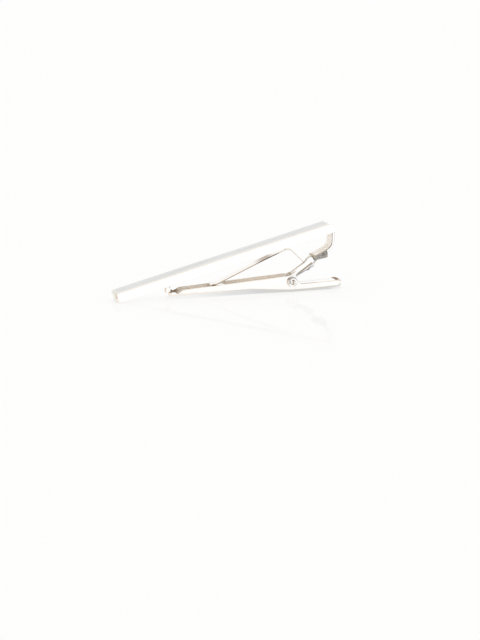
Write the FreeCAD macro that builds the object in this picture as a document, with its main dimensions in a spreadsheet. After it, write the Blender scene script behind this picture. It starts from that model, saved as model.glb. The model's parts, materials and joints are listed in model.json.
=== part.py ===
import FreeCAD, Part
import math
import os
import re
import Sketcher

# A pinch tie clip lying closed on a table, as it rests: its lever flat on the table and the bar's left end
# touching it. X runs along the clip to the thumb tab, Y into the clip's width, Z up from the table.
# The origin is on the table, straight under the rivet. Lengths in millimetres, angles in degrees.
driving_sizes = {
    # Front bar: a tray folded from sheet, open at the back
    "bar_length": 60.4,
    "bar_width": 5.1,
    "bar_depth": 2.5,
    "bar_sheet": 0.7,
    "bar_edge_round": 0.2,
    "bar_end_round": 1.4,
    "bar_nose_round": 0.8,
    "bar_foot_round": 0.3,
    "bar_corner_round": 0.8,
    # Tongue: the bar's right end folded over and back under the bar
    "tongue_lean_angle": 14.6,
    "tongue_drop": 7.0,
    "tongue_slope_angle": 10.1,
    "tongue_return": 5.9,
    "tongue_width": 4.2,
    "tongue_bend_round": 2.6,
    # Hinge bracket: base under the tongue, sloping web, two ears that spread into lobes at the rivet
    "bracket_sheet": 0.45,
    "bracket_bend_round": 0.8,
    "seat_reach": 8.1,
    "seat_height": 2.3,
    "base_lag": 1.4,
    "base_length": 1.6,
    "base_width": 1.9,
    "base_slope_angle": 8.5,
    "base_bend_run": 2.0,
    "base_bend_round": 0.8,
    "web_start": 2.3,
    "web_height": -0.1,
    "web_angle": 2.2,
    "ear_lobe_radius": 1.5,
    "ear_width": 1.7,
    "shoulder_start": 1.2,
    "shoulder_end": 2.6,
    "ear_neck_run": 1.35,
    "ear_neck_height": 2.35,
    "ear_neck_round": 3.0,
    "ear_crest_length": 1.05,
    "ear_crest_height": 3.0,
    "ear_crest_round": 0.6,
    "ear_end_gap": 0.12,
    "ear_tuck_length": 0.35,
    "ear_tuck_drop": 0.5,
    # Solder that fills the wedge between base and tongue and runs up the tongue's sides
    "solder_gap": 0.1,
    "solder_spread": 0.2,
    "solder_start": 0.1,
    "solder_lead_depth": 0.45,
    "solder_end_depth": 1.25,
    "solder_fillet": 0.3,
    "solder_rise": 0.6,
    # Jaw lever: a channel with the toothed jaw at the left and the thumb tab at the right
    "lever_width": 4.8,
    "lever_sheet": 0.5,
    "lever_edge_round": 0.7,
    "pivot_height": 2.55,
    "jaw_inset": 13.0,
    "jaw_lift": 0.65,
    "jaw_lean_angle": 10.0,
    "jaw_tip_round": 0.9,
    "waist_reach": 11.0,
    "waist_lift": 0.85,
    "waist_round": 6.0,
    "heel_reach": 0.9,
    "heel_round": 4.0,
    "sole_reach": 3.5,
    "sole_round": 8.0,
    "tip_wall_length": 1.7,
    "tip_wall_height": 1.1,
    "relief_length": 2.3,
    "relief_height": 0.7,
    "relief_round": 0.3,
    "wall_start": 3.8,
    "wall_start_height": 1.55,
    "wall_start_round": 0.6,
    "lever_ear_radius": 1.55,
    "lever_ear_run": 2.4,
    "tooth_count": 4,
    "tooth_depth": 0.55,
    "tooth_flat": 0.35,
    # Bridge of two lugs, folded in from the channel's walls, that holds the spring's hook
    "bridge_inset": 13.45,
    "bridge_length": 3.2,
    "bridge_sheet": 0.4,
    "bridge_gap": 0.5,
    # Thumb tab: walls folded over into a cover, open as a scoop at the end
    "thumb_reach": 14.0,
    "thumb_lift": 0.42,
    "thumb_height": 2.25,
    "thumb_round": 1.5,
    "flange_height": 1.85,
    "fold_round": 0.3,
    "cover_start": 2.6,
    "scoop_length": 1.7,
    "cover_gap": 0.15,
    # Pivot rivet, hollow-headed at both ends
    "shank_radius": 0.7,
    "head_radius": 1.35,
    "head_height": 0.9,
    "head_round": 0.3,
    "dimple_radius": 0.65,
    "dimple_depth": 0.5,
    "dimple_round": 0.2,
    # Leaf spring: hooked on the bridge, bent over a peak and caught in the bracket's web
    "spring_sheet": 0.25,
    "spring_width": 2.6,
    "spring_tip_width": 0.65,
    "spring_hook_depth": 0.8,
    "spring_foot_length": 1.15,
    "spring_foot_round": 2.0,
    "spring_hook_round": 0.1,
    "spring_bow": 0.43,
    "spring_shoulder_share": 0.72,
    "spring_bend_share": 0.5,
    "spring_peak_reach": 0.1,
    "spring_peak_height": 8.3,
    "spring_peak_round": 1.6,
    "spring_catch_gap": 1.9,
    "spring_tail_length": 0.8,
    "catch_slot_length": 0.9,
    # Fits
    "running_clearance": 0.05,
    "side_clearance": 0.08,
    "jaw_clearance": 0.05,
    "spring_clearance": 0.06,
    "overrun": 1.0,
}

# Sizes and places that follow from the driving ones
derived_sizes = {
    "bracket_width": "lever_width - 2 * lever_sheet - 2 * side_clearance",
    "seat_face": "seat_height + solder_gap",
    # Rivet's place in the bar's own frame, along the front and behind it
    "pivot_along": "bar_length - tongue_drop * sin(tongue_lean_angle) + seat_face * sin(tongue_slope_angle)"
                   " - (tongue_return + seat_reach) * cos(tongue_slope_angle)",
    "pivot_below": "tongue_drop * cos(tongue_lean_angle) + seat_face * cos(tongue_slope_angle)"
                   " + (tongue_return + seat_reach) * sin(tongue_slope_angle)",
    # Slope at which the bar lies with its left end on the table
    "foot_along": "pivot_along - bar_foot_round",
    "foot_below": "pivot_below - bar_depth + bar_foot_round",
    "tilt_angle": "atan2(foot_below; foot_along)"
                  " + asin((pivot_height - bar_foot_round) / hypot(foot_along; foot_below))",
    "bracket_angle": "tilt_angle + tongue_slope_angle * 1 deg",
    "bar_x": "-pivot_along * cos(tilt_angle) - pivot_below * sin(tilt_angle)",
    "bar_z": "pivot_height - pivot_along * sin(tilt_angle) + pivot_below * cos(tilt_angle)",
    # Where the line of the bar's underside meets the table
    "rest_corner_x": "bar_x + bar_depth / sin(tilt_angle) - bar_z / tan(tilt_angle)",
    # Jaw under the bar, and the channel's walls rising from it to the rivet
    "jaw_reach": "-rest_corner_x - jaw_inset",
    "lip_foot": "jaw_lift + tip_wall_height",
    "lip_height": "((jaw_inset - lip_foot * tan(jaw_lean_angle)) * tan(tilt_angle) - jaw_clearance)"
                  " / (1 - tan(jaw_lean_angle) * tan(tilt_angle))",
    "lip_width": "lever_width - jaw_tip_round",
    "wall_rise_share": "(pivot_height + lever_ear_radius - jaw_lift - wall_start_height)"
                       " / (jaw_reach - wall_start)",
    "bridge_left": "bridge_inset - bridge_length / 2 - jaw_reach",
    "bridge_right": "bridge_left + bridge_length",
    "bridge_top": "jaw_lift + wall_start_height + wall_rise_share * (bridge_left + jaw_reach - wall_start)",
    "thumb_rise_share": "(thumb_height - flange_height) / thumb_reach",
    "cover_end": "thumb_reach - scoop_length",
    # Corners of the leaf spring's underside
    "hook_x": "bridge_left - spring_clearance",
    "foot_x": "hook_x + spring_foot_length",
    "foot_z": "bridge_top + spring_clearance",
    "peak_x": "-spring_peak_reach",
    "peak_z": "pivot_height + spring_peak_height",
    "chord_length": "hypot(peak_x - foot_x; peak_z - foot_z)",
    "chord_angle": "atan2(peak_z - foot_z; peak_x - foot_x)",
    "shoulder_x": "foot_x + spring_shoulder_share * (peak_x - foot_x) - spring_bow * sin(chord_angle)",
    "shoulder_z": "foot_z + spring_shoulder_share * (peak_z - foot_z) + spring_bow * cos(chord_angle)",
    "shoulder_turn_angle": "atan2(shoulder_z - foot_z; shoulder_x - foot_x)"
                           " - atan2(peak_z - shoulder_z; peak_x - shoulder_x)",
    "shoulder_round": "spring_bend_share * (1 - spring_shoulder_share) * chord_length"
                      " / tan(shoulder_turn_angle / 2)",
    "catch_along": "seat_reach - spring_catch_gap",
    "catch_up": "web_height + catch_along * tan(web_angle) - spring_clearance",
    "catch_x": "catch_along * cos(bracket_angle) - catch_up * sin(bracket_angle)",
    "catch_z": "pivot_height + catch_along * sin(bracket_angle) + catch_up * cos(bracket_angle)",
    "tail_x": "catch_x - spring_tail_length * cos(bracket_angle + web_angle * 1 deg)",
    "tail_z": "catch_z - spring_tail_length * sin(bracket_angle + web_angle * 1 deg)",
}

nearly = 1e-6

doc = FreeCAD.newDocument("tie_clip")
sheet = doc.addObject("Spreadsheet::Sheet", "sizes")


def fill_sheet():
    rows = [(name, str(number)) for name, number in driving_sizes.items()]
    rows += [(name, "=" + formula) for name, formula in derived_sizes.items()]
    for row, (name, content) in enumerate(rows, start=1):
        sheet.set("A%d" % row, name)
        sheet.set("B%d" % row, content)
        sheet.setAlias("B%d" % row, name)
    doc.recompute()


def bound(text):
    # Expression on the sheet's cells, from one written in the sizes' names
    names = list(driving_sizes) + list(derived_sizes)
    return re.sub(r"[a-z_]+", lambda word: "sizes." + word[0] if word[0] in names else word[0], text)


def value(text):
    return float(sheet.evalExpression(bound(text)))


def bind(target, **expressions):
    for path, text in expressions.items():
        target.setExpression(path.replace("__", "."), bound(text))


def pin(sketch, element, end, corner):
    for direction, text in (("DistanceX", corner[0]), ("DistanceY", corner[1])):
        index = sketch.addConstraint(Sketcher.Constraint(direction, -1, 1, element, end, value(text)))
        sketch.renameConstraint(index, "place%d" % index)
        sketch.setExpression("Constraints.place%d" % index, bound(text))


def draw_loop(sketch, corners):
    # Closed outline of straight sides. A corner is (across, up) or (across, up, radius of its rounding).
    places = [FreeCAD.Vector(value(corner[0]), value(corner[1]), 0) for corner in corners]
    count = len(corners)
    entries = []
    exits = []
    turns = []
    for i, corner in enumerate(corners):
        before = (places[i] - places[i - 1]).normalize()
        after = (places[(i + 1) % count] - places[i]).normalize()
        turn = math.atan2(before.x * after.y - before.y * after.x, before.dot(after))
        reach = value(corner[2]) * math.tan(abs(turn) / 2) if len(corner) > 2 else 0
        entries.append(places[i] - before * reach)
        exits.append(places[i] + after * reach)
        turns.append(turn)
    sides = [
        sketch.addGeometry(Part.LineSegment(exits[i], entries[(i + 1) % count]), False)
        for i in range(count)
    ]
    for i, corner in enumerate(corners):
        coming = sides[i - 1]
        leaving = sides[i]
        if len(corner) == 2:
            sketch.addConstraint(Sketcher.Constraint("Coincident", coming, 2, leaving, 1))
            pin(sketch, leaving, 1, corner)
            continue
        draw_rounding(sketch, corner, places[i], entries[i], exits[i], turns[i], coming, leaving)


def draw_rounding(sketch, corner, place, entry, leave, turn, coming, leaving):
    # Arc that rounds one corner, tangent to both sides, with the sharp corner kept as a construction point
    radius = value(corner[2])
    inward = (entry - place).normalize() + (leave - place).normalize()
    middle = place + inward.normalize() * (radius / math.cos(turn / 2))
    ends = [entry, leave] if turn > 0 else [leave, entry]
    angles = [math.atan2(end.y - middle.y, end.x - middle.x) for end in ends]
    circle = Part.Circle(middle, FreeCAD.Vector(0, 0, 1), radius)
    arc = sketch.addGeometry(Part.ArcOfCircle(circle, angles[0], angles[1]), False)
    first, last = (1, 2) if turn > 0 else (2, 1)
    sketch.addConstraint(Sketcher.Constraint("Tangent", coming, 2, arc, first))
    sketch.addConstraint(Sketcher.Constraint("Tangent", arc, last, leaving, 1))
    index = sketch.addConstraint(Sketcher.Constraint("Radius", arc, radius))
    sketch.renameConstraint(index, "round%d" % index)
    sketch.setExpression("Constraints.round%d" % index, bound(corner[2]))
    point = sketch.addGeometry(Part.Point(place), True)
    sketch.addConstraint(Sketcher.Constraint("PointOnObject", point, 1, coming))
    sketch.addConstraint(Sketcher.Constraint("PointOnObject", point, 1, leaving))
    pin(sketch, point, 1, corner)


def draw_circle(sketch, across, up, radius):
    middle = FreeCAD.Vector(value(across), value(up), 0)
    circle = sketch.addGeometry(Part.Circle(middle, FreeCAD.Vector(0, 0, 1), value(radius)), False)
    pin(sketch, circle, 3, (across, up))
    index = sketch.addConstraint(Sketcher.Constraint("Radius", circle, value(radius)))
    sketch.renameConstraint(index, "round%d" % index)
    sketch.setExpression("Constraints.round%d" % index, bound(radius))


def strip_faces(path, thickness, rounds):
    # Corners of the two faces of a strip of sheet whose right-hand face, going along it, follows path.
    # rounds gives the inside radius of each bend between the path's ends.
    def heading(i):
        (x1, z1), (x2, z2) = path[i], path[i + 1]
        return "atan2(%s - (%s); %s - (%s))" % (z2, z1, x2, x1)

    last = len(path) - 1
    right = [path[0]]
    left = [("%s - %s * sin(%s)" % (path[0][0], thickness, heading(0)),
             "%s + %s * cos(%s)" % (path[0][1], thickness, heading(0)))]
    for i in range(1, last):
        x, z = path[i]
        mean = "(%s + %s) / 2" % (heading(i - 1), heading(i))
        half = "(%s - %s) / 2" % (heading(i), heading(i - 1))
        outside = "%s + %s" % (rounds[i - 1], thickness)
        turns_left = value(half) > 0
        right.append((x, z, outside if turns_left else rounds[i - 1]))
        left.append(("%s - %s * sin(%s) / cos(%s)" % (x, thickness, mean, half),
                     "%s + %s * cos(%s) / cos(%s)" % (z, thickness, mean, half),
                     rounds[i - 1] if turns_left else outside))
    right.append(path[last])
    left.append(("%s - %s * sin(%s)" % (path[last][0], thickness, heading(last - 1)),
                 "%s + %s * cos(%s)" % (path[last][1], thickness, heading(last - 1))))
    return right, left


def bent_strip(path, thickness, rounds):
    right, left = strip_faces(path, thickness, rounds)
    return right + left[::-1]


def new_body(label):
    body = doc.addObject("PartDesign::Body", label)
    body.Label = label
    return body


def new_sketch(body, name, role="XZ_Plane"):
    sketch = body.newObject("Sketcher::SketchObject", name)
    plane = [feature for feature in body.Origin.OriginFeatures if feature.Role == role][0]
    sketch.AttachmentSupport = [(plane, "")]
    sketch.MapMode = "FlatFace"
    return sketch


def across_width(body, kind, name, sketch, width):
    # Pad or pocket of a side-view sketch, half of its width to each side of the middle plane
    feature = body.newObject("PartDesign::" + kind, name)
    feature.Profile = sketch
    feature.SideType = "Symmetric"
    bind(feature, Length=width)
    doc.recompute()
    return feature


def side_pad(body, name, corners, width):
    sketch = new_sketch(body, name + "_outline")
    draw_loop(sketch, corners)
    return across_width(body, "Pad", name, sketch, width)


def side_pocket(body, name, corners, width):
    sketch = new_sketch(body, name + "_outline")
    draw_loop(sketch, corners)
    return across_width(body, "Pocket", name, sketch, width)


def round_feature(body, kind, name, up, radius, width):
    sketch = new_sketch(body, name + "_outline")
    draw_circle(sketch, "0", up, radius)
    return across_width(body, kind, name, sketch, width)


def fillet(body, name, chosen, radius):
    base = body.Tip
    edges = ["Edge%d" % (i + 1) for i, edge in enumerate(base.Shape.Edges) if chosen(edge)]
    feature = body.newObject("PartDesign::Fillet", name)
    feature.Base = (base, edges)
    bind(feature, Radius=radius)
    doc.recompute()
    return feature


def alike(first, second):
    return abs(first - second) < nearly


def runs_at(edge, x=None, y=None, z=None):
    # True where the whole edge lies at the given places; y is taken on both sides of the middle plane
    box = edge.BoundBox
    fits_x = x is None or (alike(box.XMin, x) and alike(box.XMax, x))
    fits_y = y is None or (alike(abs(box.YMin), y) and alike(abs(box.YMax), y) and alike(box.YLength, 0))
    fits_z = z is None or (alike(box.ZMin, z) and alike(box.ZMax, z))
    return fits_x and fits_y and fits_z


def place_on_bar(body, angle):
    # Turn about the width so that X runs up along the bar or the tongue's return
    bind(body, Placement__Rotation__Axis__x="0", Placement__Rotation__Axis__y="-1",
         Placement__Rotation__Axis__z="0", Placement__Rotation__Angle=angle)


def make_front_bar():
    # In the bar's frame: X along the front from its left end, Z out of the front
    body = new_body("front_bar")
    end_x = "bar_length - bar_depth * tan(tongue_lean_angle)"
    side_pad(body, "folded_tray", [
        ("0", "-bar_depth", "bar_foot_round"),
        (end_x, "-bar_depth"),
        ("bar_length", "0", "bar_end_round"),
        ("0", "0", "bar_nose_round"),
    ], "bar_width")
    corners = new_sketch(body, "corners_outline", "XY_Plane")
    for side in ("1", "-1"):
        draw_loop(corners, [
            ("0", "0"),
            ("0", side + " * bar_width / 2", "bar_corner_round"),
            ("bar_length / 2", side + " * bar_width / 2"),
            ("bar_length / 2", side + " * (bar_width / 2 + overrun)"),
            ("-overrun", side + " * (bar_width / 2 + overrun)"),
            ("-overrun", "0"),
        ])
    across_width(body, "Pocket", "rounded_corners", corners, "2 * (bar_depth + overrun)")
    half_width = value("bar_width / 2")
    fillet(body, "rounded_edges", lambda edge: runs_at(edge, y=half_width, z=0), "bar_edge_round")
    inner_x = "bar_length - bar_sheet * tan((90 + tongue_lean_angle) / 2)"
    side_pocket(body, "hollow_back", [
        ("bar_sheet", "-bar_depth - overrun"),
        (inner_x + " - (bar_depth + overrun - bar_sheet) * tan(tongue_lean_angle)", "-bar_depth - overrun"),
        (inner_x, "-bar_sheet", "bar_end_round - bar_sheet"),
        ("bar_sheet", "-bar_sheet", "bar_nose_round - bar_sheet"),
    ], "bar_width - 2 * bar_sheet")
    bend_x = "bar_length - tongue_drop * sin(tongue_lean_angle)"
    bend_z = "-tongue_drop * cos(tongue_lean_angle)"
    side_pad(body, "tongue", bent_strip([
        (bend_x + " - tongue_return * cos(tongue_slope_angle)",
         bend_z + " - tongue_return * sin(tongue_slope_angle)"),
        (bend_x, bend_z),
        (end_x, "-bar_depth"),
    ], "bar_sheet", ["tongue_bend_round"]), "tongue_width")
    place_on_bar(body, "tilt_angle")
    bind(body, Placement__Base__x="bar_x", Placement__Base__z="bar_z")
    return body


def bracket_underside():
    # Corners along the bracket's underside, from the web's start to the base's end
    base_start = "(seat_reach + base_lag)"
    web_end = "(seat_reach + base_lag - base_bend_run)"
    base_low = "(seat_height - base_lag * tan(base_slope_angle) - bracket_sheet / cos(base_slope_angle))"
    return [
        ("web_start", "(web_height + web_start * tan(web_angle))"),
        (web_end, "(web_height + %s * tan(web_angle))" % web_end),
        (base_start, base_low),
        ("(%s + base_length)" % base_start, "(%s - base_length * tan(base_slope_angle))" % base_low),
    ]


def make_hinge_bracket():
    # In the bracket's frame: X along the tongue's return from the rivet, Z square to it towards the bar
    body = new_body("hinge_bracket")
    path = bracket_underside()
    low, high = strip_faces(path, "bracket_sheet", ["base_bend_round", "base_bend_round"])
    web_end, base_start = path[1], path[2]
    ear_end = "(seat_reach - ear_end_gap)"
    crest_start = "(seat_reach - ear_end_gap - ear_crest_length)"
    bend_rise_share = "((%s - %s) / base_bend_run)" % (base_start[1], web_end[1])
    tuck_end = "(seat_reach + ear_tuck_length)"
    tuck_top = "(seat_height - ear_tuck_drop)"
    tuck_foot = "%s + (%s - %s) * %s" % (web_end[1], tuck_end, web_end[0], bend_rise_share)
    half_width = value("ear_width / 2")
    side_pad(body, "ears", [
        ("0", "web_height"),
        low[1],
        (tuck_end, tuck_foot),
        (tuck_end, tuck_top),
        (ear_end, tuck_top),
        (ear_end, "ear_crest_height", "ear_crest_round"),
        (crest_start, "ear_crest_height", "ear_crest_round"),
        (crest_start + " - ear_neck_run", "ear_neck_height", "ear_neck_round"),
        ("0", "ear_lobe_radius"),
    ], "ear_width")
    fillet(body, "folded_ears", lambda edge: runs_at(edge, y=half_width) and alike(edge.BoundBox.XMin, 0)
           and alike(edge.BoundBox.ZMin, value("web_height")) and edge.BoundBox.XLength > half_width,
           "bracket_bend_round")
    side_pad(body, "shoulders", [
        ("0", "web_height"),
        ("shoulder_end", "web_height + shoulder_end * tan(web_angle)"),
        ("shoulder_end", "ear_lobe_radius"),
        ("0", "ear_lobe_radius"),
    ], "bracket_width")
    pinch = new_sketch(body, "pinch_outline", "XY_Plane")
    for side in ("1", "-1"):
        draw_loop(pinch, [
            ("shoulder_start", side + " * bracket_width / 2"),
            ("shoulder_end", side + " * ear_width / 2"),
            ("shoulder_end", side + " * (bracket_width / 2 + overrun)"),
            ("shoulder_start", side + " * (bracket_width / 2 + overrun)"),
        ])
    across_width(body, "Pocket", "pinched_shoulders", pinch, "2 * (ear_crest_height + overrun)")
    round_feature(body, "Pad", "ear_lobes", "0", "ear_lobe_radius", "bracket_width")
    side_pocket(body, "between_lobes", [
        ("-ear_lobe_radius - overrun", "-ear_lobe_radius - overrun"),
        ("shoulder_start", "-ear_lobe_radius - overrun"),
        ("shoulder_start", "ear_crest_height + overrun"),
        ("-ear_lobe_radius - overrun", "ear_crest_height + overrun"),
    ], "bracket_width - 2 * bracket_sheet")
    side_pocket(body, "between_ears", [
        ("-ear_lobe_radius - overrun", "-ear_lobe_radius - overrun"),
        ("web_start", "-ear_lobe_radius - overrun"),
        high[0],
        high[1],
        high[2][:2],
        (high[2][0], "ear_crest_height + overrun"),
        ("-ear_lobe_radius - overrun", "ear_crest_height + overrun"),
    ], "ear_width - 2 * bracket_sheet")
    side_pad(body, "base", bent_strip(path[1:], "bracket_sheet", ["base_bend_round"]), "base_width")
    round_feature(body, "Pocket", "pin_holes", "0", "shank_radius + running_clearance", "lever_width")
    slot_left = "catch_along - catch_slot_length / 2"
    slot_right = "catch_along + catch_slot_length / 2"
    side_pocket(body, "spring_slot", [
        (slot_left, "-ear_lobe_radius"),
        (slot_right, "-ear_lobe_radius"),
        (slot_right, "seat_height"),
        (slot_left, "seat_height"),
    ], "spring_tip_width + 2 * spring_clearance")
    place_on_bar(body, "bracket_angle")
    bind(body, Placement__Base__z="pivot_height")
    return body


def make_solder_joint():
    # In the bracket's frame: a bead round the base's end, between base and tongue and up the tongue's sides
    body = new_body("solder_joint")
    path = bracket_underside()[1:]
    bead_start = "seat_reach + solder_start"
    base_end = path[-1][0]
    bead_end = base_end + " + solder_end_depth * sin(tilt_angle + tongue_slope_angle * 1 deg)"
    side_pad(body, "bead", [
        (bead_start, "seat_face - solder_lead_depth"),
        (base_end + " + solder_fillet", "seat_face - solder_end_depth"),
        (bead_end + " + solder_fillet", "seat_face"),
        (bead_end + " + solder_fillet", "seat_face + solder_rise"),
        (bead_start, "seat_face + solder_rise"),
    ], "tongue_width + 2 * solder_spread")
    side_pocket(body, "base_bed", bent_strip(path, "bracket_sheet", ["base_bend_round"]), "base_width")
    side_pocket(body, "tongue_bed", [
        (bead_start + " - overrun", "seat_face"),
        (bead_end + " + solder_fillet + overrun", "seat_face"),
        (bead_end + " + solder_fillet + overrun", "seat_face + solder_rise + overrun"),
        (bead_start + " - overrun", "seat_face + solder_rise + overrun"),
    ], "tongue_width")
    place_on_bar(body, "bracket_angle")
    bind(body, Placement__Base__z="pivot_height")
    return body


def rim_height(x):
    # Top of the thumb tab's walls
    return "flange_height + (%s) * thumb_rise_share" % x


def make_jaw_lever():
    body = new_body("jaw_lever")
    half_width = value("lever_width / 2")
    ear_top = "pivot_height + lever_ear_radius"
    low, high = strip_faces([
        ("-jaw_reach", "jaw_lift"),
        ("-waist_reach", "waist_lift"),
        ("-heel_reach", "0"),
        ("sole_reach", "0"),
        ("thumb_reach", "thumb_lift"),
    ], "lever_sheet", ["waist_round", "heel_round", "sole_round"])
    side_pad(body, "channel", low + [
        ("thumb_reach", "thumb_height"),
        ("lever_ear_run", rim_height("lever_ear_run")),
        ("0", ear_top),
        ("wall_start - jaw_reach", "jaw_lift + wall_start_height", "wall_start_round"),
        ("relief_length - jaw_reach", "jaw_lift + relief_height", "relief_round"),
        ("tip_wall_length - jaw_reach", "lip_foot"),
        ("-jaw_reach", "lip_foot"),
    ], "lever_width")
    fillet(body, "jaw_tip", lambda edge: runs_at(edge, x=-value("jaw_reach"), y=half_width), "jaw_tip_round")
    fillet(body, "thumb_end", lambda edge: runs_at(edge, x=value("thumb_reach"), y=half_width), "thumb_round")
    round_feature(body, "Pad", "rivet_ears", "pivot_height", "lever_ear_radius", "lever_width")
    thumb_inside = "(thumb_reach - lever_sheet)"
    jaw_inside = "(lever_sheet - jaw_reach)"
    side_pocket(body, "inside", [(jaw_inside, "jaw_lift + lever_sheet")] + high[1:-1] + [
        (thumb_inside, "thumb_lift + lever_sheet"),
        (thumb_inside, ear_top + " + overrun"),
        (jaw_inside, ear_top + " + overrun"),
    ], "lever_width - 2 * lever_sheet")
    inner_half = value("lever_width / 2 - lever_sheet")
    fillet(body, "scoop", lambda edge: runs_at(edge, x=value(thumb_inside), y=inner_half),
           "thumb_round - lever_sheet")
    fillet(body, "folded_edges", lambda edge: runs_at(edge, y=half_width, z=0), "lever_edge_round")
    fillet(body, "cover_folds", lambda edge: runs_at(edge, y=half_width) and edge.BoundBox.XMin > 0
           and edge.BoundBox.ZMin > value("flange_height") and edge.BoundBox.ZMax < value("thumb_height"),
           "fold_round")
    round_feature(body, "Pocket", "rivet_holes", "pivot_height", "shank_radius", "lever_width + overrun")
    fold_in(body, "spring_bridge", [("bridge_left", "bridge_top"), ("bridge_right", "bridge_top")],
            "bridge_sheet", "bridge_gap")
    cover_top = [("cover_start", rim_height("cover_start")), ("cover_end", rim_height("cover_end"))]
    fold_in(body, "thumb_cover", cover_top, "lever_sheet", "cover_gap")
    make_jaw_lip(body)
    return body


def fold_in(body, name, top, thickness, gap):
    # Two flaps folded in from the walls' tops, which meet at a gap in the middle
    (x1, z1), (x2, z2) = top
    side_pad(body, name, [
        (x1, "%s - %s" % (z1, thickness)),
        (x2, "%s - %s" % (z2, thickness)),
        (x2, z2),
        (x1, z1),
    ], "lever_width - 2 * fold_round")
    side_pocket(body, name + "_gap", [
        (x1 + " - overrun", "%s - 1.5 * %s" % (z1, thickness)),
        (x2 + " + overrun", "%s - 1.5 * %s" % (z2, thickness)),
        (x2 + " + overrun", z2 + " + overrun"),
        (x1 + " - overrun", z1 + " + overrun"),
    ], gap)


def make_jaw_lip(body):
    # Tab folded up from the channel's floor and leaning inwards, with V notches between flat-tipped teeth
    lip_lean = "((lip_height - lip_foot) * tan(jaw_lean_angle))"
    side_pad(body, "jaw_lip", [
        ("-jaw_reach", "lip_foot"),
        ("lever_sheet - jaw_reach", "lip_foot"),
        ("lever_sheet - jaw_reach + " + lip_lean, "lip_height + lever_sheet * tan(tilt_angle)"),
        (lip_lean + " - jaw_reach", "lip_height"),
    ], "lip_width")
    sketch = new_sketch(body, "teeth_outline", "YZ_Plane")
    bind(sketch, AttachmentOffset__Base__z="-jaw_reach")
    pitch = "(lip_width / tooth_count)"
    for notch in range(1, int(driving_sizes["tooth_count"])):
        middle = "(%d * %s - lip_width / 2)" % (notch, pitch)
        half_top = "(%s - tooth_flat) / 2" % pitch
        draw_loop(sketch, [
            (middle, "lip_height - tooth_depth"),
            (middle + " + " + half_top + " * (tooth_depth + overrun) / tooth_depth", "lip_height + overrun"),
            (middle + " - " + half_top + " * (tooth_depth + overrun) / tooth_depth", "lip_height + overrun"),
        ])
    across_width(body, "Pocket", "teeth", sketch, "2 * relief_length")


def make_pivot_rivet():
    # Turned about its own length: a shank between two rolled heads, each with a dimple
    body = new_body("pivot_rivet")
    sketch = new_sketch(body, "half_section", "XY_Plane")
    seat = "lever_width / 2"
    crown = "(lever_width / 2 + head_height)"
    floor = "(lever_width / 2 + head_height - dimple_depth)"
    draw_loop(sketch, [
        ("0", "-" + floor),
        ("dimple_radius", "-" + floor, "dimple_round"),
        ("dimple_radius", "-" + crown, "dimple_round"),
        ("head_radius", "-" + crown, "head_round"),
        ("head_radius", "-" + seat),
        ("shank_radius", "-" + seat),
        ("shank_radius", seat),
        ("head_radius", seat),
        ("head_radius", crown, "head_round"),
        ("dimple_radius", crown, "dimple_round"),
        ("dimple_radius", floor, "dimple_round"),
        ("0", floor),
    ])
    turned = body.newObject("PartDesign::Revolution", "turned")
    turned.Profile = sketch
    turned.ReferenceAxis = (sketch, ["V_Axis"])
    turned.Angle = 360
    doc.recompute()
    bind(body, Placement__Base__z="pivot_height")
    return body


def make_leaf_spring():
    body = new_body("leaf_spring")
    side_pad(body, "bent_leaf", bent_strip([
        ("hook_x", "foot_z - spring_hook_depth"),
        ("hook_x", "foot_z"),
        ("foot_x", "foot_z"),
        ("shoulder_x", "shoulder_z"),
        ("peak_x", "peak_z"),
        ("catch_x", "catch_z"),
        ("tail_x", "tail_z"),
    ], "spring_sheet", ["spring_hook_round", "spring_foot_round", "shoulder_round",
                        "spring_peak_round", "spring_hook_round"]), "spring_width")
    taper = new_sketch(body, "taper_outline", "XY_Plane")
    for side in ("1", "-1"):
        draw_loop(taper, [
            ("shoulder_x", side + " * spring_width / 2"),
            ("peak_x", side + " * spring_tip_width / 2"),
            ("catch_x + overrun", side + " * spring_tip_width / 2"),
            ("catch_x + overrun", side + " * (spring_width / 2 + overrun)"),
            ("shoulder_x", side + " * (spring_width / 2 + overrun)"),
        ])
    across_width(body, "Pocket", "taper", taper, "2 * (peak_z + overrun)")
    return body


def check_and_write(bodies):
    doc.recompute()
    for item in doc.Objects:
        if "Invalid" in item.State or "Error" in item.State:
            raise RuntimeError("%s failed: %s" % (item.Label, item.State))
    os.makedirs("parts", exist_ok=True)
    for body in bodies:
        shape = body.Shape
        if shape.isNull() or not shape.isValid() or len(shape.Solids) != 1:
            raise RuntimeError("%s is not one valid solid" % body.Label)
    for body in bodies:
        body.Shape.exportStep(os.path.join("parts", body.Label + ".step"))
        print("%s: volume %.2f" % (body.Label, body.Shape.Volume))
    for name in ("tilt_angle", "bracket_angle", "rest_corner_x", "jaw_reach", "lip_height", "bridge_top"):
        print("%s %.4f" % (name, value(name)))


fill_sheet()
check_and_write([
    make_front_bar(),
    make_hinge_bracket(),
    make_solder_joint(),
    make_jaw_lever(),
    make_pivot_rivet(),
    make_leaf_spring(),
])
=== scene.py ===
import bpy
import bmesh
import json
import math
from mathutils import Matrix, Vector, noise
from mathutils.bvhtree import BVHTree


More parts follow.
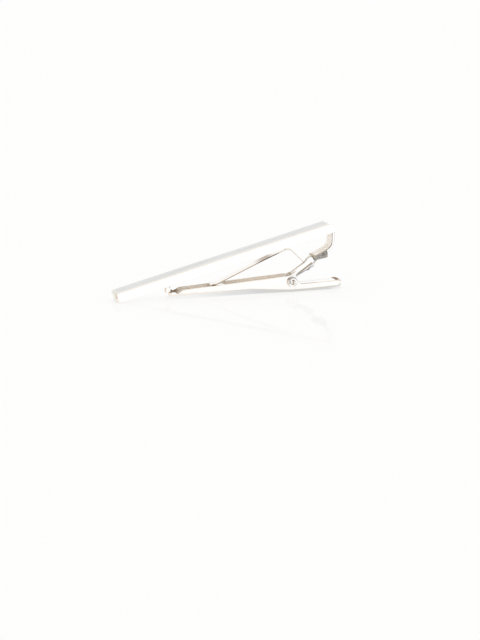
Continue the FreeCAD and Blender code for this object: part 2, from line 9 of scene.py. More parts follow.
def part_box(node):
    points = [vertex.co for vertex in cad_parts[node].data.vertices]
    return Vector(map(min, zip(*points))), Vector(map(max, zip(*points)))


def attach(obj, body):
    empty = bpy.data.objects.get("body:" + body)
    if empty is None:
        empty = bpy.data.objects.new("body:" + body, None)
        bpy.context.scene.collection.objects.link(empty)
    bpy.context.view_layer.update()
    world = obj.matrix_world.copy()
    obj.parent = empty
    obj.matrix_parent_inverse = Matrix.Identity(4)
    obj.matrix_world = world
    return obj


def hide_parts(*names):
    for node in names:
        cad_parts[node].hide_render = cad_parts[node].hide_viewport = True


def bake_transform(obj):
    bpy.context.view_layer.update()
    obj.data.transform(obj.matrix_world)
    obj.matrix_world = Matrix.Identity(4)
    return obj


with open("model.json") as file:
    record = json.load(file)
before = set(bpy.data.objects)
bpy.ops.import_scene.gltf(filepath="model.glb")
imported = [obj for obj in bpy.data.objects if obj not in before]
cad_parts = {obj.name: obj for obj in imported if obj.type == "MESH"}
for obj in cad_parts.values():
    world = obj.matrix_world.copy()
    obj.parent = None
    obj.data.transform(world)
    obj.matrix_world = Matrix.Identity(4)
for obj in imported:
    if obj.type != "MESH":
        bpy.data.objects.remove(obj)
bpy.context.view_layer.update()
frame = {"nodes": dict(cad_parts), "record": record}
nodes = frame["nodes"]
print("frame loaded:", sorted(nodes))

mm = 0.001
frontWay = Vector(next(m["axis"] for m in frame["record"]["mounts"] if m["name"] == "front_face"))
barLean = math.atan2(-frontWay.x, frontWay.z)     # the bar's slope, seen from the side


# camera: lens and sensor in mm, angles in degrees

cameraSet = {"lens": 87.2, "sensor": 36, "clipStart": 0.01, "away": 0.4,
             "azimuth": -17.552, "elevation": 13.261, "lookAt": (-13.307 * mm, 0, -7.151 * mm)}


def makeCamera(s):
    cam = bpy.data.cameras.new("camera")
    cam.lens = s["lens"]
    cam.sensor_width = s["sensor"]
    cam.clip_start = s["clipStart"]
    obj = bpy.data.objects.new("camera", cam)
    a = math.radians(s["azimuth"])
    e = math.radians(s["elevation"])
    back = Vector((math.sin(a) * math.cos(e), -math.cos(a) * math.cos(e), math.sin(e)))
    obj.location = Vector(s["lookAt"]) + back * s["away"]
    obj.rotation_euler = back.to_track_quat("Z", "Y").to_euler()
    bpy.context.scene.collection.objects.link(obj)
    bpy.context.scene.camera = obj


makeCamera(cameraSet)
print("camera placed")


# short forms for shader nodes

def feed(tree, socket, value):
    # a number or colour is set, another node's output is linked
    if isinstance(value, (int, float, tuple)):
        socket.default_value = value
    else:
        tree.links.new(value, socket)


def mathNode(tree, operation, *values):
    node = tree.nodes.new("ShaderNodeMath")
    node.operation = operation
    for socket, value in zip(node.inputs, values):
        feed(tree, socket, value)
    return node.outputs[0]


def mapNode(tree, value, low, high, toLow=0.0, toHigh=1.0):
    node = tree.nodes.new("ShaderNodeMapRange")
    node.interpolation_type = "SMOOTHSTEP"
    given = {"Value": value, "From Min": low, "From Max": high, "To Min": toLow, "To Max": toHigh}
    for label, part in given.items():
        feed(tree, node.inputs[label], part)
    return node.outputs["Result"]


def mixNode(tree, factor, first, second, kind="MIX"):
    node = tree.nodes.new("ShaderNodeMix")
    node.data_type = "RGBA"
    node.blend_type = kind
    for label, value in (("Factor", factor), ("A", first), ("B", second)):
        feed(tree, node.inputs[label], value)
    return node.outputs["Result"]


def dotNode(tree, vector, way):
    node = tree.nodes.new("ShaderNodeVectorMath")
    node.operation = "DOT_PRODUCT"
    node.inputs[1].default_value = way
    tree.links.new(vector, node.inputs[0])
    return node.outputs["Value"]


def splitNode(tree, vector):
    node = tree.nodes.new("ShaderNodeSeparateXYZ")
    tree.links.new(vector, node.inputs[0])
    return node.outputs


def coordsNode(tree, kind="Object"):
    return tree.nodes.new("ShaderNodeTexCoord").outputs[kind]


def newMaterial(name):
    mat = bpy.data.materials.new(name)
    mat.use_nodes = True
    return mat, mat.node_tree, mat.node_tree.nodes["Principled BSDF"]


# floor: a white acrylic sheet lit from below, with a weak mirror on top and a tight shade under the metal

floorSet = {"radius": 6.0, "sides": 64, "smooth": 0.05,
            "seen": {"glow": 0.775, "white": 0.13, "mirror": 0.08},     # what the camera sees
            "given": {"glow": 0.72, "white": 0.34},                     # what the clip's metal sees
            "shadeReach": 1.4 * mm, "shadeSamples": 16, "shadeFrom": 0.1, "shadeTo": 1.0,
            # glow left in the shade: at the jaw, under the hinge, and at the thumb end
            "jawGlow": 0.93, "hingeGlow": 0.62, "thumbGlow": 0.86,
            "hingeFrom": -28 * mm, "hingeFull": -10 * mm, "thumbFrom": 5 * mm, "thumbFull": 13 * mm}


def makeFloor(s):
    bm = bmesh.new()
    bmesh.ops.create_circle(bm, cap_ends=True, segments=s["sides"], radius=s["radius"])
    mesh = bpy.data.meshes.new("floor")
    bm.to_mesh(mesh)
    bm.free()
    obj = bpy.data.objects.new("floor", mesh)
    bpy.context.scene.collection.objects.link(obj)
    mat, tree, skin = newMaterial("lightTable")
    tree.nodes.remove(skin)

    def layer(kind, level):
        node = tree.nodes.new(kind)
        node.inputs["Color"].default_value = (level, level, level, 1)
        return node

    def stacked(first, second):
        both = tree.nodes.new("ShaderNodeAddShader")
        tree.links.new(first.outputs[0], both.inputs[0])
        tree.links.new(second.outputs[0], both.inputs[1])
        return both

    mirror = layer("ShaderNodeBsdfGlossy", s["seen"]["mirror"])
    mirror.inputs["Roughness"].default_value = s["smooth"]
    glow = layer("ShaderNodeEmission", s["seen"]["glow"])
    touch = tree.nodes.new("ShaderNodeAmbientOcclusion")
    touch.samples = s["shadeSamples"]
    touch.inputs["Distance"].default_value = s["shadeReach"]
    along = splitNode(tree, coordsNode(tree))["X"]
    toHinge = mapNode(tree, along, s["hingeFrom"], s["hingeFull"], s["jawGlow"], s["hingeGlow"])
    toThumb = mapNode(tree, along, s["thumbFrom"], s["thumbFull"], 0.0, s["thumbGlow"])
    least = mathNode(tree, "MAXIMUM", toHinge, toThumb)
    shade = mapNode(tree, touch.outputs["AO"], s["shadeFrom"], s["shadeTo"], least)
    tree.links.new(shade, glow.inputs["Strength"])
    seen = stacked(stacked(glow, layer("ShaderNodeBsdfDiffuse", s["seen"]["white"])), mirror)
    given = stacked(layer("ShaderNodeEmission", s["given"]["glow"]),
                    layer("ShaderNodeBsdfDiffuse", s["given"]["white"]))
    path = tree.nodes.new("ShaderNodeLightPath")
    choose = tree.nodes.new("ShaderNodeMixShader")
    tree.links.new(path.outputs["Is Camera Ray"], choose.inputs["Fac"])
    tree.links.new(given.outputs[0], choose.inputs[1])
    tree.links.new(seen.outputs[0], choose.inputs[2])
    tree.links.new(choose.outputs[0], tree.nodes["Material Output"].inputs["Surface"])
    mesh.materials.append(mat)


# light: a white tent, brighter overhead, with two dim openings on the side it is photographed from

lightSet = {"strength": 1.0, "low": 1.0, "zenith": 1.5, "riseFrom": 0.8, "riseTo": 0.95, "openings": [
    {"way": (-0.1, -0.62, 0.78), "wide": 0.86, "soft": 0.06, "colour": (0.84, 0.71, 0.56, 1)},
    {"way": (-0.294, -0.928, 0.229), "wide": 0.965, "soft": 0.012, "colour": (0.16, 0.13, 0.11, 1)},
]}


def makeLight(s):
    scene = bpy.context.scene
    scene.view_settings.view_transform = "Standard"
    world = bpy.data.worlds.new("softDome")
    scene.world = world
    world.use_nodes = True
    tree = world.node_tree
    sky = tree.nodes["Background"]
    sky.inputs["Strength"].default_value = s["strength"]
    ways = coordsNode(tree, "Generated")
    ramp = tree.nodes.new("ShaderNodeValToRGB")
    tree.links.new(splitNode(tree, ways)["Z"], ramp.inputs["Fac"])
    ramp.color_ramp.interpolation = "EASE"
    levels = ((s["riseFrom"], s["low"]), (s["riseTo"], s["zenith"]))
    for element, (at, level) in zip(ramp.color_ramp.elements, levels):
        element.position = at
        element.color = (level, level, level, 1)
    colour = ramp.outputs["Color"]
    for opening in s["openings"]:
        facing = dotNode(tree, ways, Vector(opening["way"]).normalized())
        inside = mapNode(tree, facing, opening["wide"] - opening["soft"], opening["wide"] + opening["soft"])
        colour = mixNode(tree, inside, colour, opening["colour"])
    tree.links.new(colour, sky.inputs["Color"])


makeFloor(floorSet)
makeLight(lightSet)
print("floor and light ready")


# shared effects

recessSet = {"reach": 2 * mm, "samples": 24, "closed": 0.6, "open": 0.97}
markSet = {"lineSize": 900.0, "lineStretch": (20, 0.25, 0.25), "lineDetail": 3,
           "cloudSize": 260, "cloudDetail": 4}
bandLabels = ("From", "Full", "Keep", "To")
edgeBand = (0.1, 0.45, 0.75, 0.97)      # the round of an edge between a side face and a flat


def newGroup(name, inputs, outputs):
    group = bpy.data.node_groups.new(name, "ShaderNodeTree")
    for label, start in inputs.items():
        socket = group.interface.new_socket(label, in_out="INPUT", socket_type="NodeSocketFloat")
        socket.default_value = start
    for label in outputs:
        group.interface.new_socket(label, in_out="OUTPUT", socket_type="NodeSocketFloat")
    return group, group.nodes.new("NodeGroupInput"), group.nodes.new("NodeGroupOutput")


def placed(tree, group, **values):
    node = tree.nodes.new("ShaderNodeGroup")
    node.node_tree = group
    for label, value in values.items():
        node.inputs[label].default_value = value
    return node


def makeFoldTone():
    # rounded and folded edges, told by a normal that leans out of the side faces
    group, put, out = newGroup("foldTone", dict(zip(bandLabels, edgeBand)), ["Mask"])
    surface = group.nodes.new("ShaderNodeNewGeometry")
    lean = mathNode(group, "ABSOLUTE", splitNode(group, surface.outputs["Normal"])["Y"])
    rises = mapNode(group, lean, put.outputs["From"], put.outputs["Full"])
    falls = mapNode(group, lean, put.outputs["Keep"], put.outputs["To"], 1.0, 0.0)
    group.links.new(mathNode(group, "MULTIPLY", rises, falls), out.inputs["Mask"])
    return group


def makeRecess(s):
    # how deep a spot lies inside its own piece: 0 out in the open, 1 in a fold
    group, put, out = newGroup("recess", {"Reach": s["reach"]}, ["Mask"])
    shelter = group.nodes.new("ShaderNodeAmbientOcclusion")
    shelter.only_local = True
    shelter.samples = s["samples"]
    group.links.new(put.outputs["Reach"], shelter.inputs["Distance"])
    mask = mapNode(group, shelter.outputs["AO"], s["closed"], s["open"], 1.0, 0.0)
    group.links.new(mask, out.inputs["Mask"])
    return group


def makeFineMarks(s):
    # hairlines of the polishing wheel along the bar, and a faint cloudiness
    group, put, out = newGroup("fineMarks", {"Size": s["lineSize"]}, ["Lines", "Cloud"])
    coords = coordsNode(group)
    turn = group.nodes.new("ShaderNodeMapping")
    turn.vector_type = "TEXTURE"
    turn.inputs["Rotation"].default_value = (0, -barLean, 0)
    turn.inputs["Scale"].default_value = s["lineStretch"]
    group.links.new(coords, turn.inputs["Vector"])
    lines = group.nodes.new("ShaderNodeTexNoise")
    lines.inputs["Detail"].default_value = s["lineDetail"]
    group.links.new(turn.outputs["Vector"], lines.inputs["Vector"])
    group.links.new(put.outputs["Size"], lines.inputs["Scale"])
    cloud = group.nodes.new("ShaderNodeTexNoise")
    cloud.inputs["Detail"].default_value = s["cloudDetail"]
    cloud.inputs["Scale"].default_value = s["cloudSize"]
    group.links.new(coords, cloud.inputs["Vector"])
    group.links.new(lines.outputs["Fac"], out.inputs["Lines"])
    group.links.new(cloud.outputs["Fac"], out.inputs["Cloud"])
    return group


foldTone = makeFoldTone()
recess = makeRecess(recessSet)
fineMarks = makeFineMarks(markSet)
print("shared effects ready")


# finishes

def raised(tree, skin, height, strength, distance):
    bump = tree.nodes.new("ShaderNodeBump")
    bump.inputs["Strength"].default_value = strength
    bump.inputs["Distance"].default_value = distance
    tree.links.new(height, bump.inputs["Height"])
    tree.links.new(bump.outputs["Normal"], skin.inputs["Normal"])


# tones are placed in mm: fade is a stripe's soft end, and turn is where a normal starts to face up or down
toneSet = {"fade": 0.4, "turnFrom": -0.02, "turnFull": 0.08}


def toneMask(tree, tone, deep):
    # where a tone shows: in sheltered parts, in a band of the normal, on a stripe or a stretch of the
    # piece, or where those that it names overlap
    parts = []
    if tone.get("deep"):
        parts.append(deep)
    if "band" in tone:
        parts.append(placed(tree, foldTone, **dict(zip(bandLabels, tone["band"]))).outputs["Mask"])
    if "line" in tone:                    # a stripe seen from the side, from one (x, z) to another
        one, other = (Vector((x * mm, 0, z * mm)) for x, z in tone["line"])
        length = (other - one).length
        way = (other - one).normalized()
        across = Vector((-way.z, 0, way.x))
        half = tone["half"] * mm
        soft = tone["soft"] * mm
        fade = tone.get("fade", toneSet["fade"]) * mm
        coords = coordsNode(tree)
        off = mathNode(tree, "SUBTRACT", dotNode(tree, coords, across), one.dot(across))
        run = mathNode(tree, "SUBTRACT", dotNode(tree, coords, way), one.dot(way))
        off = mathNode(tree, "ABSOLUTE", off)
        parts.append(mapNode(tree, off, half - soft, half + soft, 1.0, 0.0))
        parts.append(mapNode(tree, run, 0.0, fade))
        parts.append(mapNode(tree, run, length - fade, length, 1.0, 0.0))
    if "facing" in tone:                  # 1 for edges that face up, -1 for those that face down
        surface = tree.nodes.new("ShaderNodeNewGeometry")
        upward = splitNode(tree, surface.outputs["Normal"])["Z"]
        turned = mathNode(tree, "MULTIPLY", upward, tone["facing"])
        parts.append(mapNode(tree, turned, toneSet["turnFrom"], toneSet["turnFull"]))
    if "along" in tone:                   # a stretch of x: begin, full, keep, end
        begin, full, keep, end = (x * mm for x in tone["along"])
        along = splitNode(tree, coordsNode(tree))["X"]
        parts.append(mapNode(tree, along, begin, full))
        parts.append(mapNode(tree, along, keep, end, 1.0, 0.0))
    mask = tone["share"]
    for part in parts:
        mask = mathNode(tree, "MULTIPLY", mask, part)
    return mask


# what all the plated pieces have in common
plateFinish = {"bright": (0.97, 0.965, 0.955, 1), "metalLow": 0.0, "gloss": 0.045, "dull": 0.42,
               "cloud": 0.05, "lineDepth": 0.02, "lineHeight": 0.02 * mm}


def platedMetal(name, s):
    # bright in the open, warm and dull where it is sheltered: the warm colour there is painted shade
    mat, tree, skin = newMaterial(name)
    deep = placed(tree, recess, Reach=s["reach"]).outputs["Mask"]
    marks = placed(tree, fineMarks)
    colour = mixNode(tree, deep, s["bright"], s["shadeTint"])
    for tone in s["tones"]:
        colour = mixNode(tree, toneMask(tree, tone, deep), colour, tone["colour"])
    tint = tree.nodes.new("ShaderNodeAttribute")          # painted shade and reflection on single faces
    tint.attribute_name = "tint"
    colour = mixNode(tree, 1.0, colour, tint.outputs["Color"], "MULTIPLY")
    tree.links.new(colour, skin.inputs["Base Color"])
    rough = mapNode(tree, deep, 0.0, 1.0, s["gloss"], s["dull"])
    rough = mathNode(tree, "MULTIPLY_ADD", marks.outputs["Cloud"], s["cloud"], rough)
    tree.links.new(rough, skin.inputs["Roughness"])
    tree.links.new(mapNode(tree, deep, 0.0, 1.0, 1.0, s["metalLow"]), skin.inputs["Metallic"])
    raised(tree, skin, marks.outputs["Lines"], s["lineDepth"], s["lineHeight"])
    return mat


satinFinish = {"light": (0.775, 0.775, 0.765, 1), "dark": (0.675, 0.675, 0.665, 1), "darkFrom": 0.35,
               "darkFull": 0.65, "smooth": 0.22, "rough": 0.36, "roughFrom": 0.3, "roughFull": 0.7,
               "along": 0.5, "lineDepth": 0.12, "lineHeight": 0.02 * mm}


def brushedMetal(name, s):
    # the bar's front, drawn lengthwise over a fine belt
    mat, tree, skin = newMaterial(name)
    lines = placed(tree, fineMarks).outputs["Lines"]
    streak = mapNode(tree, lines, s["darkFrom"], s["darkFull"])
    tree.links.new(mixNode(tree, streak, s["light"], s["dark"]), skin.inputs["Base Color"])
    rough = mapNode(tree, lines, s["roughFrom"], s["roughFull"], s["smooth"], s["rough"])
    tree.links.new(rough, skin.inputs["Roughness"])
    skin.inputs["Metallic"].default_value = 1.0
    skin.inputs["Anisotropic"].default_value = s["along"]
    raised(tree, skin, lines, s["lineDepth"], s["lineHeight"])
    return mat


barFinish = dict(plateFinish, shadeTint=(0.99, 0.95, 0.89, 1), reach=7 * mm, tones=[
    # painted reflection: the rounds of the upward-facing edges are tinted warm
    {"colour": (0.90, 0.85, 0.77, 1), "share": 0.9, "band": edgeBand, "facing": 1},
    # a painted dark reflection down the corner of its left end
    {"colour": (0.72, 0.65, 0.60, 1), "share": 0.9, "band": (0.15, 0.4, 0.95, 0.99),
     "line": ((-46.65, 2.9), (-46.1, 0.8)), "half": 0.25, "soft": 0.1, "fade": 0.5},
])
barPlate = platedMetal("barPlate", barFinish)
frontSatin = brushedMetal("frontSatin", satinFinish)

sideFace = (0.7, 0.85, 2.0, 3.0)          # a band with no upper end: all that faces sideways
bracketFinish = dict(plateFinish, shadeTint=(0.99, 0.94, 0.87, 1), reach=3 * mm, gloss=0.08, tones=[
    # painted shade and reflection above the fold, and painted shade at the base's bend
    {"colour": (0.26, 0.21, 0.13, 1), "share": 0.9, "band": sideFace,
     "line": ((1.3, 3.64), (6.2, 7.04)), "half": 0.24, "soft": 0.16},
    {"colour": (0.42, 0.42, 0.45, 1), "share": 0.8, "band": sideFace,
     "line": ((4.6, 5.0), (7.3, 7.95)), "half": 0.15, "soft": 0.1},
    # painted shade on its outline, where the folds face down
    {"colour": (0.26, 0.26, 0.29, 1), "share": 0.95, "band": (0.0, 0.05, 0.85, 0.95), "facing": -1},
])
bracketPlate = platedMetal("bracketPlate", bracketFinish)

lowerEdge = (0.05, 0.2, 0.955, 0.998)     # a wider band, for the lever's lower edges
leverFinish = dict(plateFinish, shadeTint=(0.95, 0.86, 0.73, 1), reach=6 * mm, tones=[
    # painted light: a pale stripe along the walls' upper rim
    {"colour": (0.98, 0.96, 0.93, 1), "share": 0.9, "band": sideFace,
     "line": ((-29.4, 1.98), (0.4, 4.03)), "half": 0.6, "soft": 0.2},
    # painted reflection on the rounds of the upper edges, then painted shade on the lower ones, fainter
    # under the jaw
    {"colour": (0.72, 0.58, 0.46, 1), "share": 0.8, "band": edgeBand, "facing": 1},
    {"colour": (0.66, 0.64, 0.59, 1), "share": 0.9, "band": lowerEdge, "facing": -1,
     "along": (-28, -10, 30, 31)},
    {"colour": (0.84, 0.76, 0.67, 1), "share": 0.55, "band": lowerEdge, "facing": -1,
     "along": (-34, -33, -26, -12)},
    # painted light: pale ends of the channel, over the painted shade of its recess
    {"colour": (1.0, 0.95, 0.87, 1), "share": 0.9, "deep": True, "along": (-30.5, -29.0, -24, -16)},
    {"colour": (1.0, 0.96, 0.91, 1), "share": 0.9, "deep": True, "along": (-4.5, -2.5, 4, 5)},
    # painted shade in the jaw, and in the scoop
    {"colour": (0.34, 0.25, 0.17, 1), "share": 0.9, "deep": True, "along": (-40, -39, -30.2, -29.0)},
    {"colour": (0.60, 0.49, 0.38, 1), "share": 0.9, "deep": True, "along": (10.2, 10.6, 11.3, 11.6)},
    {"colour": (0.60, 0.47, 0.35, 1), "share": 0.9, "deep": True, "along": (11.9, 12.1, 15, 16)},
])
leverPlate = platedMetal("leverPlate", leverFinish)

rivetFinish = dict(plateFinish, shadeTint=(0.95, 0.92, 0.88, 1), reach=0.5 * mm, tones=[
    # painted shade: a dark stroke in the hollow, and a grey stroke on the roll
    {"colour": (0.34, 0.26, 0.18, 1), "share": 0.9,
     "line": ((0.17, 2.05), (0.17, 3.35)), "half": 0.19, "soft": 0.1, "fade": 0.25},
    {"colour": (0.34, 0.34, 0.35, 1), "share": 0.9,
     "line": ((-0.88, 2.0), (-0.88, 3.2)), "half": 0.17, "soft": 0.1, "fade": 0.3},
])
rivetPlate = platedMetal("rivetPlate", rivetFinish)

sheared = (0.3, 0.7, 2.0, 3.0)            # the spring's cut sides
springFinish = dict(plateFinish, bright=(0.95, 0.92, 0.88, 1), shadeTint=(0.72, 0.56, 0.40, 1),
                    reach=1.2 * mm, gloss=0.1, metalLow=0.45, tones=[
    # painted shade on its cut sides
    {"colour": (0.42, 0.30, 0.19, 1), "share": 0.9, "band": sheared},
    # painted shade: a dark stretch
    {"colour": (0.30, 0.19, 0.10, 1), "share": 0.75, "along": (-10.0, -7.0, -6.2, -4.0)},
    {"colour": (0.08, 0.05, 0.03, 1), "share": 0.9, "band": sheared, "along": (-10.0, -7.8, -4.0, -2.6)},
    # a paler painted shade on the leg's cut sides, and a painted highlight on its tip
    {"colour": (0.80, 0.74, 0.65, 1), "share": 0.8, "band": sheared, "along": (-3.4, -2.4, 20, 21)},
    {"colour": (0.90, 0.89, 0.88, 1), "share": 0.9, "along": (4.1, 4.4, 20, 21)},
])
springSteel = platedMetal("springSteel", springFinish)

solderFinish = {"dark": (0.17, 0.155, 0.135, 1), "light": (0.46, 0.44, 0.405, 1), "lightFrom": 0.38,
                "lightFull": 0.62, "cloudSize": 1500, "cloudShare": 0.6, "speckSize": 4200,
                "speckShare": 0.4, "detail": 3, "rough": 0.55, "smooth": 0.30, "smoothFrom": 0.35,
                "smoothFull": 0.65, "metal": 0.75, "lumps": 0.5, "lumpHeight": 0.05 * mm}


def solderMetal(name, s):
    # cooled solder: grey, cloudy and pitted
    mat, tree, skin = newMaterial(name)
    coords = coordsNode(tree)

    def pattern(size):
        node = tree.nodes.new("ShaderNodeTexNoise")
        node.inputs["Scale"].default_value = size
        node.inputs["Detail"].default_value = s["detail"]
        tree.links.new(coords, node.inputs["Vector"])
        return node.outputs["Fac"]

    cloud = mathNode(tree, "MULTIPLY", pattern(s["cloudSize"]), s["cloudShare"])
    both = mathNode(tree, "MULTIPLY_ADD", pattern(s["speckSize"]), s["speckShare"], cloud)
    pale = mapNode(tree, both, s["lightFrom"], s["lightFull"])
    tree.links.new(mixNode(tree, pale, s["dark"], s["light"]), skin.inputs["Base Color"])
    rough = mapNode(tree, both, s["smoothFrom"], s["smoothFull"], s["rough"], s["smooth"])
    tree.links.new(rough, skin.inputs["Roughness"])
    skin.inputs["Metallic"].default_value = s["metal"]
    raised(tree, skin, both, s["lumps"], s["lumpHeight"])
    return mat


solderSkin = solderMetal("solderSkin", solderFinish)
print("finishes ready")


# pieces: points closer than join are one, folds flatter than flat are none, those past sharp are edges,
# and a point further out than stray, as a share of the edge's width, goes back

shapeSet = {"join": 0.0005 * mm, "flat": math.radians(0.3), "sharp": math.radians(30), "stray": 0.45}
noTint = (1, 1, 1, 1)


def asObject(name, bm, *mats):
    mesh = bpy.data.meshes.new(name)
    bm.to_mesh(mesh)
    bm.free()
    for mat in mats:
        mesh.materials.append(mat)
    for face in mesh.polygons:
        face.use_smooth = True
    obj = bpy.data.objects.new(name, mesh)
    bpy.context.scene.collection.objects.link(obj)
    return obj


def evenNormals(obj):
    even = obj.modifiers.new("evenNormals", "WEIGHTED_NORMAL")
    even.keep_sharp = False
    return obj


def joinedCopy(node):
    # the node's mesh with its loose triangles joined
    bm = bmesh.new()
    bm.from_mesh(nodes[node].data)
    bmesh.ops.remove_doubles(bm, verts=bm.verts, dist=shapeSet["join"])
    return bm


def stampedCopy(node):
    # and with its flats made whole
    bm = joinedCopy(node)
    bmesh.ops.dissolve_limit(bm, angle_limit=shapeSet["flat"], verts=bm.verts, edges=bm.edges)
    return bm


def breakEdges(bm, width, steps, chosen=lambda edge: True):
    # corners broken as by tumbling
    skin = BVHTree.FromBMesh(bm)
    folds = [e for e in bm.edges if len(e.link_faces) == 2 and chosen(e)]
    sharp = [e for e in folds if e.calc_face_angle() > shapeSet["sharp"]]
    bmesh.ops.bevel(bm, geom=sharp, offset=width, offset_type="OFFSET", affect="EDGES", segments=steps,
                    profile=0.5, material=-1, clamp_overlap=False)
    for vert in bm.verts:                 # where narrow corners throw a point out, it goes back to the skin
        nearest, _, _, away = skin.find_nearest(vert.co)
        if away > shapeSet["stray"] * width:
            vert.co = nearest


def cutAcross(bm, faces, place, way):
    edges = dict.fromkeys(e for f in faces for e in f.edges)
    verts = dict.fromkeys(v for f in faces for v in f.verts)
    bmesh.ops.bisect_plane(bm, geom=faces + list(edges) + list(verts), plane_co=place, plane_no=way)


def tintFaces(bm, spots=(), origin=Vector((0, 0, 0))):
    # each face takes the tone of the first spot that it lies in
    layer = bm.faces.layers.float_color.new("tint")
    for face in bm.faces:
        at = face.calc_center_median() - origin
        face[layer] = next((tone for where, tone in spots if where(at, face.normal)), noTint)


def finishPiece(obj, node, body):
    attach(obj, body)
    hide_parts(node)


barSet = {"frontEdge": 0.12 * mm, "edge": 0.05 * mm, "tongueEdge": 0.2 * mm, "steps": 3,
          "slot": "polished_plate", "frontWithin": 0.01 * mm, "satinFrom": 0.9995,
          "tongueFrom": 4 * mm, "tongueHalf": 2.15 * mm, "tongueTop": 11 * mm,
          # painted shade: the tongue's end is tinted brown, but not below or at its sides
          "endShadeSpan": 0.5 * mm, "endShadeBelow": -0.7, "endShadeSide": 0.8, "endShadeTone": (0.50, 0.42, 0.31, 1),
          # painted shade on the tongue's rounded edges
          "rimFrom": 8 * mm, "rimLow": 0.25, "rimHigh": 0.95, "rimTone": (0.26, 0.23, 0.24, 1),
          # painted shade on the bar's left end, and a painted reflection on its near corner
          "endFrom": -44 * mm, "endFacing": -0.35, "endTone": (0.77, 0.76, 0.69, 1),
          "cornerFacing": -0.3, "cornerNear": -0.4, "cornerTone": (0.94, 0.89, 0.84, 1)}


def makeBar(s):
    bm = stampedCopy("front_bar")

    def onTongue(at):
        return at.x > s["tongueFrom"] and abs(at.y) < s["tongueHalf"]

    tongueFaces = [f for f in bm.faces if onTongue(f.calc_center_median())]
    tongueEnd = min(tongueFaces, key=lambda f: f.calc_center_median().x)
    start = tongueEnd.calc_center_median()
    way = -tongueEnd.normal
    breakEdges(bm, s["tongueEdge"], s["steps"], lambda e: all(onTongue(v.co) for v in e.verts))
    top = max(v.co.dot(frontWay) for v in bm.verts)

    def onFront(at):
        return top - at.dot(frontWay) < s["frontWithin"]

    breakEdges(bm, s["frontEdge"], s["steps"], lambda e: all(onFront(v.co) for v in e.verts))
    breakEdges(bm, s["edge"], s["steps"],
               lambda e: not any(onTongue(v.co) or onFront(v.co) for v in e.verts))
    tongue = [f for f in bm.faces if all(onTongue(v.co) and v.co.z < s["tongueTop"] for v in f.verts)]
    # the tongue is cut where the painted shade on its end stops
    cutAcross(bm, tongue, start + way * s["endShadeSpan"], way)
    bm.normal_update()

    # the faces of the tongue's end that take painted shade
    def inEndShade(at, n):
        within = onTongue(at) and (at - start).dot(way) < s["endShadeSpan"]
        return within and n.z > s["endShadeBelow"] and abs(n.y) < s["endShadeSide"]

    def onRim(at, n):
        within = at.x > s["rimFrom"] and abs(at.y) < s["tongueHalf"]
        return within and s["rimLow"] < abs(n.y) < s["rimHigh"]

    def onCorner(at, n):
        return at.x < s["endFrom"] and n.x < s["cornerFacing"] and n.y < s["cornerNear"]

    def onEnd(at, n):
        return at.x < s["endFrom"] and n.x < s["endFacing"]

    tintFaces(bm, [(inEndShade, s["endShadeTone"]), (onRim, s["rimTone"]),
                   (onCorner, s["cornerTone"]), (onEnd, s["endTone"])])
    for face in bm.faces:
        satin = face.normal.dot(frontWay) > s["satinFrom"] and onFront(face.calc_center_median())
        face.material_index = 1 if satin else 0
    finishPiece(evenNormals(asObject("frontBar", bm, barPlate, frontSatin)), "front_bar", "bar")


bracketSet = {"edge": 0.05 * mm, "steps": 2, "slot": "polished_plate"}


def makeBracket(s):
    bm = stampedCopy("hinge_bracket")
    breakEdges(bm, s["edge"], s["steps"])
    tintFaces(bm)
    finishPiece(evenNormals(asObject("hingeBracket", bm, bracketPlate)), "hinge_bracket", "bar")


leverSet = {"edge": 0.05 * mm, "steps": 2, "slot": "polished_plate",
            # end of the jaw: it is cut lengthwise, and its left faces take painted shade, darker on the far
            # side than on the near
            "cutFrom": -31.5 * mm, "tipFrom": -32 * mm, "tipFacing": -0.5, "farSide": 0.2 * mm,
            "farTone": (0.66, 0.52, 0.40, 1), "tipTone": (0.99, 0.97, 0.94, 1)}


def makeLever(s):
    bm = stampedCopy("jaw_lever")
    breakEdges(bm, s["edge"], s["steps"])
    tip = [f for f in bm.faces if f.calc_center_median().x < s["cutFrom"] and f.normal.x < s["tipFacing"]]
    cutAcross(bm, tip, (0, s["farSide"], 0), (0, 1, 0))
    bm.normal_update()

    def onTip(at, n):
        return at.x < s["tipFrom"] and n.x < s["tipFacing"]

    def onFarSide(at, n):
        return onTip(at, n) and at.y > s["farSide"]

    tintFaces(bm, [(onFarSide, s["farTone"]), (onTip, s["tipTone"])])
    finishPiece(evenNormals(asObject("jawLever", bm, leverPlate)), "jaw_lever", "lever")


# half the rivet's outline in mm: (radius, distance from its middle), head rolled over round a hollow end
rivetSet = {"slot": "polished_plate", "turns": 72, "merge": 0.002 * mm, "outline": [
    (0.70, 0.0), (0.70, 2.40), (1.30, 2.40), (1.35, 2.46), (1.35, 2.66), (1.32, 2.90), (1.22, 3.12),
    (1.08, 3.26), (0.92, 3.30), (0.78, 3.28), (0.66, 3.18), (0.60, 3.02), (0.54, 2.88), (0.42, 2.80),
    (0.22, 2.80), (0.0, 2.80)],
    # painted shade on the head's rim on the right and above, on its left side, and at its foot
    "rimFrom": 1.05 * mm, "rimRight": 0.3 * mm, "rimAbove": 0.7 * mm, "rimTone": (0.45, 0.45, 0.45, 1),
    "sideFrom": 1.2 * mm, "sideLeft": -0.7 * mm, "leftTone": (0.70, 0.61, 0.52, 1),
    "footBelow": 2.7 * mm, "footTone": (0.60, 0.57, 0.53, 1)}


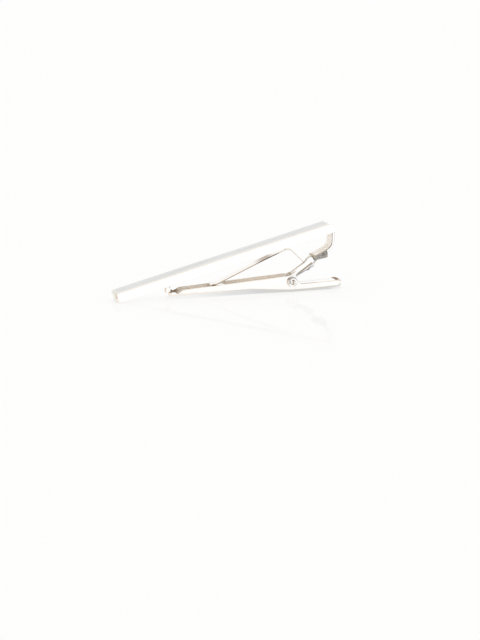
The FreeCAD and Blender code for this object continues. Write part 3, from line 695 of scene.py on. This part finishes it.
def makeRivet(s):
    low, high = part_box("pivot_rivet")
    middle = (low + high) / 2
    bm = bmesh.new()
    line = [bm.verts.new(middle + Vector((0, -away * mm, radius * mm))) for radius, away in s["outline"]]
    for one, other in zip(line, line[1:]):
        bm.edges.new((one, other))
    bmesh.ops.spin(bm, geom=bm.verts[:] + bm.edges[:], cent=middle, axis=(0, 1, 0), angle=math.tau,
                   steps=s["turns"], use_merge=True)
    bmesh.ops.mirror(bm, geom=bm.verts[:] + bm.edges[:] + bm.faces[:], axis="Y", merge_dist=s["merge"])
    bmesh.ops.remove_doubles(bm, verts=bm.verts, dist=s["merge"])
    bmesh.ops.recalc_face_normals(bm, faces=bm.faces)

    def onRim(at, n):
        return math.hypot(at.x, at.z) > s["rimFrom"] and (at.x > s["rimRight"] or at.z > s["rimAbove"])

    def onLeft(at, n):
        return math.hypot(at.x, at.z) > s["sideFrom"] and at.x < s["sideLeft"]

    def onFoot(at, n):
        return math.hypot(at.x, at.z) > s["sideFrom"] and abs(at.y) < s["footBelow"]

    tintFaces(bm, [(onRim, s["rimTone"]), (onLeft, s["leftTone"]), (onFoot, s["footTone"])], middle)
    finishPiece(evenNormals(asObject("pivotRivet", bm, rivetPlate)), "pivot_rivet", "lever")


# sizes in mm, because the solder is remeshed at that scale
solderSet = {"grain": 0.08, "lumpSize": 0.9, "lumpDeep": 0.10, "lumpLeast": 0.1, "lumpFall": 1.0,
             "lumpFiner": 2.0, "lumpLayers": 3, "melt": 3, "meltFactor": 0.5, "slot": "solder"}


def makeSolder(s):
    bm = joinedCopy("solder_joint")
    bmesh.ops.scale(bm, vec=(1 / mm, 1 / mm, 1 / mm), verts=bm.verts)
    draft = asObject("solderDraft", bm)
    grain = draft.modifiers.new("grain", "REMESH")
    grain.mode = "VOXEL"
    grain.voxel_size = s["grain"]
    done = draft.evaluated_get(bpy.context.evaluated_depsgraph_get())
    bm = bmesh.new()
    bm.from_mesh(done.data)
    bpy.data.objects.remove(draft)
    # the cooled skin sinks in lumps, and its corners melt away
    bm.normal_update()
    for vert in bm.verts:
        rise = noise.fractal(vert.co / s["lumpSize"], s["lumpFall"], s["lumpFiner"], s["lumpLayers"])
        sunk = min(max((1 + rise) / 2, s["lumpLeast"]), 1)
        vert.co -= vert.normal * s["lumpDeep"] * sunk
    for _ in range(s["melt"]):
        bmesh.ops.smooth_vert(bm, verts=bm.verts, factor=s["meltFactor"],
                              use_axis_x=True, use_axis_y=True, use_axis_z=True)
    bmesh.ops.scale(bm, vec=(mm, mm, mm), verts=bm.verts)
    finishPiece(asObject("solderJoint", bm, solderSkin), "solder_joint", "bar")


makeBar(barSet)
makeBracket(bracketSet)
makeLever(leverSet)
makeRivet(rivetSet)
makeSolder(solderSet)
print("bar, bracket, lever, rivet and solder finished")

springSet = {"edge": 0.04 * mm, "steps": 2, "slot": "spring_steel", "cut": 0.6 * mm,
             "start": (-18.5 * mm, 0, 3 * mm), "end": (5.0 * mm, 0, 6 * mm)}


def makeSpring(s):
    bm = stampedCopy("leaf_spring")
    breakEdges(bm, s["edge"], s["steps"])
    low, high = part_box("leaf_spring")
    x = low.x + s["cut"]
    while x < high.x:                     # cuts across it at even steps
        bmesh.ops.bisect_plane(bm, geom=bm.verts[:] + bm.edges[:] + bm.faces[:],
                               plane_co=(x, 0, 0), plane_no=(1, 0, 0))
        x += s["cut"]
    tintFaces(bm)
    obj = evenNormals(asObject("leafSpring", bm, springSteel))
    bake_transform(obj)
    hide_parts("leaf_spring")


makeSpring(springSet)
print("spring finished")
